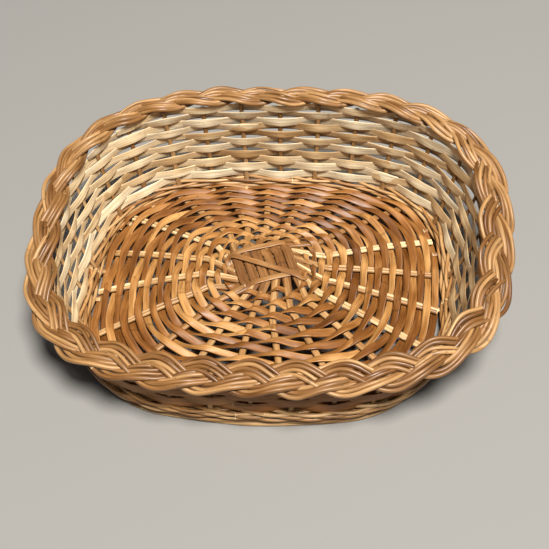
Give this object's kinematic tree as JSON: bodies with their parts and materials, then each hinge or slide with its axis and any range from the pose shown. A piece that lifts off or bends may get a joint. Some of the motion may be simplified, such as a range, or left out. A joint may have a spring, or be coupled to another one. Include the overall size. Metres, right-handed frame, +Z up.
{
  "type": "pet bed basket",
  "caption": "Oval woven willow pet bed with a domed floor, a wall of split willow on round side stakes, a plaited border and a low front.",
  "frame": {"origin": "on the ground, under the middle of the plaited border", "axes": "+Z up, +X along the bed's length, -Y towards its low front"},
  "size_m": [0.5783, 0.435, 0.1734],
  "materials": {
    "base_stick_willow": "shaved willow sticks, satin",
    "binding_willow": "flat split willow, satin",
    "floor_willow": "flat split buff willow, satin",
    "rod_willow": "round peeled willow, satin",
    "stake_willow": "round peeled willow, satin",
    "wall_willow": "flat split willow, pale cut face, satin",
    "border_willow": "round buff willow, varnished, semi-gloss"
  },
  "bodies": {
    "root": {"base_stick_crosswise_1": "base_stick_willow", "base_stick_crosswise_2": "base_stick_willow", "base_stick_crosswise_3": "base_stick_willow", "base_stick_crosswise_4": "base_stick_willow", "base_stick_crosswise_5": "base_stick_willow", "base_stick_crosswise_6": "base_stick_willow", "base_stick_lengthwise_1": "base_stick_willow", "base_stick_lengthwise_2": "base_stick_willow", "base_stick_lengthwise_3": "base_stick_willow", "base_stick_lengthwise_4": "base_stick_willow", "border_strand_1": "border_willow", "border_strand_2": "border_willow", "border_strand_3": "border_willow", "floor_weaver_1": "floor_willow", "floor_weaver_2": "floor_willow", "foot_rod_1": "rod_willow", "foot_rod_2": "rod_willow", "side_stake_01": "stake_willow", "side_stake_02": "stake_willow", "side_stake_03": "stake_willow", "side_stake_04": "stake_willow", "side_stake_05": "stake_willow", "side_stake_06": "stake_willow", "side_stake_07": "stake_willow", "side_stake_08": "stake_willow", "side_stake_09": "stake_willow", "side_stake_10": "stake_willow", "side_stake_11": "stake_willow", "side_stake_12": "stake_willow", "side_stake_13": "stake_willow", "side_stake_14": "stake_willow", "side_stake_15": "stake_willow", "side_stake_16": "stake_willow", "side_stake_17": "stake_willow", "side_stake_18": "stake_willow", "side_stake_19": "stake_willow", "side_stake_20": "stake_willow", "side_stake_21": "stake_willow", "side_stake_22": "stake_willow", "side_stake_23": "stake_willow", "side_stake_24": "stake_willow", "side_stake_25": "stake_willow", "side_stake_26": "stake_willow", "side_stake_27": "stake_willow", "side_stake_28": "stake_willow", "side_stake_29": "stake_willow", "side_stake_30": "stake_willow", "slath_binding": "binding_willow", "upsett_rod": "rod_willow", "wall_weaver_01": "wall_willow", "wall_weaver_02": "wall_willow", "wall_weaver_03": "wall_willow", "wall_weaver_04": "wall_willow", "wall_weaver_05": "wall_willow", "wall_weaver_06": "wall_willow", "wall_weaver_07": "wall_willow", "wall_weaver_08": "wall_willow", "wall_weaver_09": "wall_willow", "wall_weaver_10": "wall_willow", "wall_weaver_11": "wall_willow"}
  },
  "joints": []
}
